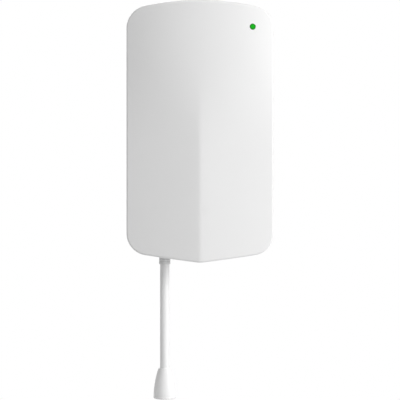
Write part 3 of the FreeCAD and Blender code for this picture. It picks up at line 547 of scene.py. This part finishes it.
choke_place = (8.6 * MM, 36.6 * MM)
choke_size = (3.4 * MM, 1.8 * MM, 4.0 * MM)
choke_end = (0.35 * MM, 1.1 * MM, 3.0 * MM)
choke = gather("inductor_body", [stand("choke", choke_place, choke_size, 0.25 * MM)])
choke_ends = gather("inductor_ends", [
    stand("choke_end", (choke_place[0] + side * choke_size[0] / 2, choke_place[1]), choke_end, 0.05 * MM)
    for side in (-1, 1)])

capacitor_size = (1.0 * MM, 0.78 * MM, 0.76 * MM)
capacitor_end = (0.34 * MM, 0.82 * MM, 0.8 * MM)
capacitor_places_mm = [(-2.2, 38.4), (-2.2, 40.2), (1.2, 38.4), (1.2, 40.2), (10.4, 40.6), (17.2, 38.6),
                       (20.2, 38.6), (17.2, 35.8), (20.2, 35.8), (-18.4, 39.6)]
bodies, ends = [], []
for across_mm, up_mm in capacitor_places_mm:
    middle_x, middle_z = across_mm * MM, up_mm * MM
    bodies.append(stand("capacitor", (middle_x, middle_z), capacitor_size, 0.05 * MM))
    for side in (-1, 1):
        end_x = middle_x + side * (capacitor_size[0] + capacitor_end[0]) / 2
        ends.append(stand("capacitor_end", (end_x, middle_z), capacitor_end, 0.09 * MM))
capacitors = gather("ceramic_capacitors", bodies)
capacitor_ends = gather("capacitor_ends", ends)

# Epoxy moulding compound: near black, dull, with a fine sparkle of its glass filler
epoxy, tree = new_material("epoxy_moulded_black")
place = add(tree, "ShaderNodeTexCoord")
filler = add(tree, "ShaderNodeTexNoise", {"Vector": place.outputs["Object"], "Scale": 1 / (0.12 * MM),
                                          "Detail": 3.0})
gloss = add(tree, "ShaderNodeMapRange", {"Value": filler.outputs["Fac"], "To Min": 0.5, "To Max": 0.66})
relief = add(tree, "ShaderNodeBump", {"Height": filler.outputs["Fac"], "Strength": 0.3,
                                      "Distance": 0.01 * MM})
tint = add(tree, "ShaderNodeMixRGB", {"Fac": filler.outputs["Fac"], "Color1": linear("18181A"),
                                      "Color2": linear("2A2A2C")})
skin = add(tree, "ShaderNodeBsdfPrincipled", {
    "Base Color": tint.outputs[0], "Roughness": gloss.outputs[0], "Normal": relief.outputs[0], "IOR": 1.55})
add(tree, "ShaderNodeOutputMaterial", {"Surface": skin.outputs[0]})

# Fired ceramic: a smooth, warm tan like glazed clay, with slight clouds from piece to piece
ceramic, tree = new_material("ceramic_fired_tan")
place = add(tree, "ShaderNodeTexCoord")
cloud = add(tree, "ShaderNodeTexNoise", {"Vector": place.outputs["Object"], "Scale": 1 / (1.5 * MM)})
gloss = add(tree, "ShaderNodeMapRange", {"Value": cloud.outputs["Fac"], "To Min": 0.22, "To Max": 0.35})
tint = add(tree, "ShaderNodeMixRGB", {"Fac": cloud.outputs["Fac"], "Color1": linear("9C7A52"),
                                      "Color2": linear("B79468")})
skin = add(tree, "ShaderNodeBsdfPrincipled", {
    "Base Color": tint.outputs[0], "Roughness": gloss.outputs[0], "IOR": 1.7})
add(tree, "ShaderNodeOutputMaterial", {"Surface": skin.outputs[0]})

for piece, material, slot in (
    (controller, epoxy, "switch_body"), (controller_legs, tin, "tinned_steel"),
    (crystal, tin, "tinned_steel"), (choke, epoxy, "switch_body"), (choke_ends, tin, "tinned_steel"),
    (capacitors, ceramic, "indicator_body"), (capacitor_ends, tin, "tinned_steel"),
):
    piece.data.materials.append(material)

# Pairing button
# Light grey ABS cap in a hole of the rear cover, behind the wall plate; it is pressed with
# the case off the wall. Polished mould, so it is a little glossier than the cover round it.
cap, tree = new_material("abs_moulded_satin_light_grey")
place = add(tree, "ShaderNodeTexCoord")
drift = add(tree, "ShaderNodeTexNoise", {"Vector": place.outputs["Object"], "Scale": 1 / (3 * MM)})
gloss = add(tree, "ShaderNodeMapRange", {"Value": drift.outputs["Fac"], "To Min": 0.3, "To Max": 0.4})
relief = add(tree, "ShaderNodeBump", {"Height": drift.outputs["Fac"], "Strength": 0.1, "Distance": 0.05 * MM})
tint = add(tree, "ShaderNodeMixRGB", {"Fac": drift.outputs["Fac"], "Color1": linear("A9ABAD"),
                                      "Color2": linear("B1B3B5")})
skin = add(tree, "ShaderNodeBsdfPrincipled", {
    "Base Color": tint.outputs[0], "Roughness": gloss.outputs[0], "Normal": relief.outputs[0], "IOR": 1.53})
add(tree, "ShaderNodeOutputMaterial", {"Surface": skin.outputs[0]})
dress(cap, "pair_button")

# Header and plug of the probe's leads
# Unfilled nylon, moulded in its own milky colour: the header stands on the rear of the
# board and the plug slides into it. Waxy, and slightly yellow where it is thick.
natural, tree = new_material("nylon_moulded_natural")
place = add(tree, "ShaderNodeTexCoord")
milk = add(tree, "ShaderNodeTexNoise", {"Vector": place.outputs["Object"], "Scale": 1 / (1.5 * MM),
                                        "Detail": 3.0})
gloss = add(tree, "ShaderNodeMapRange", {"Value": milk.outputs["Fac"], "To Min": 0.35, "To Max": 0.5})
tint = add(tree, "ShaderNodeMixRGB", {"Fac": milk.outputs["Fac"], "Color1": linear("D9D3C2"),
                                      "Color2": linear("E6E2D6")})
skin = add(tree, "ShaderNodeBsdfPrincipled", {
    "Base Color": tint.outputs[0], "Roughness": gloss.outputs[0], "IOR": 1.53, "Subsurface Weight": 0.1,
    "Subsurface Scale": 0.5 * MM})
add(tree, "ShaderNodeOutputMaterial", {"Surface": skin.outputs[0]})
dress(natural, "board_header", "lead_plug")

# Leads
# The cable's two cores, stripped of their jacket inside the case: tinned copper strands in
# thin PVC, which shows the lay of the strands as a faint slanting ripple.
strand_pitch = 0.6 * MM
cores, tree = new_material("pvc_core_insulation_grey")
place = add(tree, "ShaderNodeTexCoord")
slanted = add(tree, "ShaderNodeMapping", {"Vector": place.outputs["Object"], "Rotation": (0, 0.6, 0)})
lay = add(tree, "ShaderNodeTexWave", {"Vector": slanted.outputs[0], "Scale": wave_length / strand_pitch,
                                      "Distortion": 0.6}, bands_direction="Z")
gloss = add(tree, "ShaderNodeMapRange", {"Value": lay.outputs["Fac"], "To Min": 0.35, "To Max": 0.45})
relief = add(tree, "ShaderNodeBump", {"Height": lay.outputs["Fac"], "Strength": 0.2, "Distance": 0.03 * MM})
tint = add(tree, "ShaderNodeMixRGB", {"Fac": lay.outputs["Fac"], "Color1": linear("8D9094"),
                                      "Color2": linear("999CA0")})
skin = add(tree, "ShaderNodeBsdfPrincipled", {
    "Base Color": tint.outputs[0], "Roughness": gloss.outputs[0], "Normal": relief.outputs[0], "IOR": 1.53})
add(tree, "ShaderNodeOutputMaterial", {"Surface": skin.outputs[0]})
dress(cores, "sensor_leads")

# Light pipe
# Clear green acrylic rod whose domed end stands a hair proud of the front. The indicator behind it lights the
# middle with a painted glow, and the rim is painted a darker green as shade, as in the photograph.
pipe_low, pipe_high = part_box("light_pipe")
pipe_x = (pipe_low.x + pipe_high.x) / 2
pipe_z = (pipe_low.z + pipe_high.z) / 2
lit_radius = 0.33 * MM
rim_radius = 0.99 * MM
acrylic, tree = new_material("acrylic_moulded_clear_green")
place = add(tree, "ShaderNodeTexCoord")
centred = add(tree, "ShaderNodeMapping", {
    "Vector": place.outputs["Object"], "Location": (-pipe_x, 0, -pipe_z)})
flat = add(tree, "ShaderNodeVectorMath", {0: centred.outputs[0], 1: (1, 0, 1)}, operation="MULTIPLY")
radial = add(tree, "ShaderNodeVectorMath", {0: flat.outputs[0]}, operation="LENGTH")
rim = add(tree, "ShaderNodeMapRange", {"Value": radial.outputs["Value"], "From Min": lit_radius,
                                       "From Max": rim_radius}, interpolation_type="SMOOTHSTEP")
swirl = add(tree, "ShaderNodeTexNoise", {"Vector": place.outputs["Object"], "Scale": 1 / (0.7 * MM)})
gloss = add(tree, "ShaderNodeMapRange", {"Value": swirl.outputs["Fac"], "To Min": 0.12, "To Max": 0.22})
# Painted light and shade: a bright green middle that glows, fading to a darker green rim
tint = add(tree, "ShaderNodeMixRGB", {"Fac": rim.outputs[0], "Color1": linear("0EAC18"),
                                      "Color2": linear("1C8A1A")})
painted_glow = add(tree, "ShaderNodeMapRange", {"Value": rim.outputs[0], "To Min": 0.2, "To Max": 0.0})
skin = add(tree, "ShaderNodeBsdfPrincipled", {
    "Base Color": tint.outputs[0], "Roughness": gloss.outputs[0], "IOR": 1.49, "Specular IOR Level": 0.12,
    "Emission Color": linear("0CB814"), "Emission Strength": painted_glow.outputs[0]})
add(tree, "ShaderNodeOutputMaterial", {"Surface": skin.outputs[0]})
dress(acrylic, "light_pipe")

# Cable bush
# Moulded thermoplastic rubber, trapped in a saddle between the two covers; only its collar
# shows under the case. Two shallow grooves round the collar let it give when the cable is
# pulled aside.
collar_radius = 2.05 * MM
groove_heights = (bush_foot + 1.05 * MM, bush_foot + 1.9 * MM)
groove_width = 0.5 * MM
groove_depth = 0.1 * MM
waist = 1 - groove_depth / collar_radius

# The bush as the CAD has it, with the grooves pinched into a copy of its mesh
bush = bpy.data.objects.new("cable_bush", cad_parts["cable_gland"].data.copy())
bpy.context.scene.collection.objects.link(bush)
bpy.ops.object.select_all(action="DESELECT")
bush.select_set(True)
bpy.context.view_layer.objects.active = bush
bpy.ops.mesh.customdata_custom_splitnormals_clear()
bpy.ops.object.mode_set(mode="EDIT")
bpy.ops.mesh.select_mode(type="VERT")
bpy.ops.mesh.select_all(action="SELECT")
bpy.ops.mesh.remove_doubles(threshold=0.001 * MM)
for groove in groove_heights:
    for height in (groove - groove_width / 2, groove, groove + groove_width / 2):
        bpy.ops.mesh.select_all(action="SELECT")
        bpy.ops.mesh.bisect(plane_co=(cable_x, cable_y, height), plane_no=(0, 0, 1))
    mesh = bmesh.from_edit_mesh(bush.data)
    for vert in mesh.verts:
        outer = math.hypot(vert.co.x - cable_x, vert.co.y - cable_y) > collar_radius * 0.95
        vert.select = outer and abs(vert.co.z - groove) < 0.01 * MM
    mesh.select_flush(True)
    bmesh.update_edit_mesh(bush.data)
    bpy.ops.transform.resize(value=(waist, waist, 1), center_override=(cable_x, cable_y, groove))
bpy.ops.object.mode_set(mode="OBJECT")
bpy.ops.object.shade_smooth_by_angle(angle=math.radians(35))
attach(bush, "case")
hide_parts("cable_gland")

# Thermoplastic rubber: dead matt and a shade greyer than the plastic round it, with a slight bloom; the
# grooves are painted a darker grey as shade
rubber, tree = new_material("thermoplastic_rubber_moulded_pale_grey")
place = add(tree, "ShaderNodeTexCoord")
bloom = add(tree, "ShaderNodeTexNoise", {"Vector": place.outputs["Object"], "Scale": 1 / (1.2 * MM),
                                         "Detail": 3.0})
grain = add(tree, "ShaderNodeTexNoise", {"Vector": place.outputs["Object"], "Scale": 1 / (0.3 * MM)})
gloss = add(tree, "ShaderNodeMapRange", {"Value": bloom.outputs["Fac"], "To Min": 0.68, "To Max": 0.8})
relief = add(tree, "ShaderNodeBump", {"Height": grain.outputs["Fac"], "Strength": 0.3, "Distance": 0.02 * MM})
centred = add(tree, "ShaderNodeMapping", {"Vector": place.outputs["Object"],
                                          "Location": (-cable_x, -cable_y, 0)})
flat = add(tree, "ShaderNodeVectorMath", {0: centred.outputs[0], 1: (1, 1, 0)}, operation="MULTIPLY")
radial = add(tree, "ShaderNodeVectorMath", {0: flat.outputs[0]}, operation="LENGTH")
# Painted shade in the grooves: darkest at their floor, fading out just below the collar's face
free_of_painted_groove_shade = add(tree, "ShaderNodeMapRange", {
    "Value": radial.outputs["Value"], "From Min": collar_radius - groove_depth,
    "From Max": collar_radius - 0.1 * groove_depth})
bare = add(tree, "ShaderNodeMixRGB", {"Fac": bloom.outputs["Fac"], "Color1": linear("DFDFDF"),
                                      "Color2": linear("E5E5E5")})
# CACACA is the painted shade in the grooves
tint = add(tree, "ShaderNodeMixRGB", {"Fac": free_of_painted_groove_shade.outputs[0], "Color1": linear("CACACA"),
                                      "Color2": bare.outputs[0]})
skin = add(tree, "ShaderNodeBsdfPrincipled", {
    "Base Color": tint.outputs[0], "Roughness": gloss.outputs[0], "Normal": relief.outputs[0], "IOR": 1.48})
add(tree, "ShaderNodeOutputMaterial", {"Surface": skin.outputs[0]})
bush.data.materials.clear()
bush.data.materials.append(rubber)
dress(rubber, "cable_gland")

# Probe
# The bell is ABS from a polished mould. A nylon plug fills its mouth and carries the two
# contacts, brass pins with a flash of gold, whose ends stand level with the bell's rim.

# Polished ABS: a cool, smooth white with a soft highlight down the side towards the light
bell_abs, tree = new_material("abs_moulded_polished_white")
place = add(tree, "ShaderNodeTexCoord")
grain = add(tree, "ShaderNodeTexNoise", {"Vector": place.outputs["Object"], "Scale": 1 / (0.3 * MM)})
drift = add(tree, "ShaderNodeTexNoise", {"Vector": place.outputs["Object"], "Scale": 1 / (5 * MM)})
gloss = add(tree, "ShaderNodeMapRange", {"Value": drift.outputs["Fac"], "To Min": 0.3, "To Max": 0.38})
relief = add(tree, "ShaderNodeBump", {"Height": grain.outputs["Fac"], "Strength": 0.12,
                                      "Distance": 0.01 * MM})
tint = add(tree, "ShaderNodeMixRGB", {"Fac": drift.outputs["Fac"], "Color1": linear("EEEEEE"),
                                      "Color2": linear("F2F2F2")})
skin = add(tree, "ShaderNodeBsdfPrincipled", {
    "Base Color": tint.outputs[0], "Roughness": gloss.outputs[0], "Normal": relief.outputs[0], "IOR": 1.53,
    "Specular IOR Level": 0.25})
add(tree, "ShaderNodeOutputMaterial", {"Surface": skin.outputs[0]})
dress(bell_abs, "probe_head")

# Unfilled nylon: an off-white that is waxy and slightly cloudy
filler, tree = new_material("nylon_moulded_white")
place = add(tree, "ShaderNodeTexCoord")
milk = add(tree, "ShaderNodeTexNoise", {"Vector": place.outputs["Object"], "Scale": 1 / (1.0 * MM),
                                        "Detail": 3.0})
gloss = add(tree, "ShaderNodeMapRange", {"Value": milk.outputs["Fac"], "To Min": 0.5, "To Max": 0.62})
relief = add(tree, "ShaderNodeBump", {"Height": milk.outputs["Fac"], "Strength": 0.2, "Distance": 0.03 * MM})
tint = add(tree, "ShaderNodeMixRGB", {"Fac": milk.outputs["Fac"], "Color1": linear("D6D5D0"),
                                      "Color2": linear("DFDEDA")})
skin = add(tree, "ShaderNodeBsdfPrincipled", {
    "Base Color": tint.outputs[0], "Roughness": gloss.outputs[0], "Normal": relief.outputs[0], "IOR": 1.53})
add(tree, "ShaderNodeOutputMaterial", {"Surface": skin.outputs[0]})
dress(filler, "probe_carrier")

# Gold over turned brass: a warm, bright yellow with fine lines from the lathe
gold, tree = new_material("brass_pin_gold_flashed")
place = add(tree, "ShaderNodeTexCoord")
turned = add(tree, "ShaderNodeMapping", {"Vector": place.outputs["Object"], "Scale": (0.2, 0.2, 1)})
lines = add(tree, "ShaderNodeTexNoise", {"Vector": turned.outputs[0], "Scale": 1 / (0.15 * MM)})
gloss = add(tree, "ShaderNodeMapRange", {"Value": lines.outputs["Fac"], "To Min": 0.16, "To Max": 0.3})
tint = add(tree, "ShaderNodeMixRGB", {"Fac": lines.outputs["Fac"], "Color1": linear("D2A84A"),
                                      "Color2": linear("E3BF6A")})
skin = add(tree, "ShaderNodeBsdfPrincipled", {
    "Base Color": tint.outputs[0], "Metallic": 1.0, "Roughness": gloss.outputs[0]})
add(tree, "ShaderNodeOutputMaterial", {"Surface": skin.outputs[0]})
dress(gold, "probe_pins")

# Front cover
# One ABS moulding: an arch at the top that folds into a sharp ridge lower down. Its mould
# was blasted with fine beads, so the white is soft and satin, and sheens only at a low angle.
satin_abs, tree = new_material("abs_moulded_satin_white")
place = add(tree, "ShaderNodeTexCoord")
grain = add(tree, "ShaderNodeTexNoise", {"Vector": place.outputs["Object"], "Scale": 1 / (0.25 * MM),
                                         "Detail": 2.0})
drift = add(tree, "ShaderNodeTexNoise", {"Vector": place.outputs["Object"], "Scale": 1 / (18 * MM),
                                         "Detail": 2.0})
gloss = add(tree, "ShaderNodeMapRange", {"Value": drift.outputs["Fac"], "To Min": 0.4, "To Max": 0.46})
relief = add(tree, "ShaderNodeBump", {"Height": grain.outputs["Fac"], "Strength": 0.15,
                                      "Distance": 0.01 * MM})
tint = add(tree, "ShaderNodeMixRGB", {"Fac": drift.outputs["Fac"], "Color1": linear("E7E7E7"),
                                      "Color2": linear("E9E9E9")})
skin = add(tree, "ShaderNodeBsdfPrincipled", {
    "Base Color": tint.outputs[0], "Roughness": gloss.outputs[0], "Normal": relief.outputs[0], "IOR": 1.53})
add(tree, "ShaderNodeOutputMaterial", {"Surface": skin.outputs[0]})
dress(satin_abs, "front_cover")

# Screws
# Self-tapping steel screws, cold-headed and zinc-plated: four join the covers from behind,
# two hold the board. Grey with a cold, faintly blue cast and small scuffs from the driver.
zinc, tree = new_material("zinc_plated_steel")
place = add(tree, "ShaderNodeTexCoord")
scuffs = add(tree, "ShaderNodeTexNoise", {"Vector": place.outputs["Object"], "Scale": 1 / (0.7 * MM),
                                          "Detail": 5.0, "Distortion": 0.8})
gloss = add(tree, "ShaderNodeMapRange", {"Value": scuffs.outputs["Fac"], "To Min": 0.25, "To Max": 0.48})
relief = add(tree, "ShaderNodeBump", {"Height": scuffs.outputs["Fac"], "Strength": 0.15,
                                      "Distance": 0.03 * MM})
tint = add(tree, "ShaderNodeMixRGB", {"Fac": scuffs.outputs["Fac"], "Color1": linear("AEB6BC"),
                                      "Color2": linear("CBD1D5")})
skin = add(tree, "ShaderNodeBsdfPrincipled", {
    "Base Color": tint.outputs[0], "Metallic": 1.0, "Roughness": gloss.outputs[0],
    "Normal": relief.outputs[0]})
add(tree, "ShaderNodeOutputMaterial", {"Surface": skin.outputs[0]})
dress(zinc, "case_screws", "board_screws")
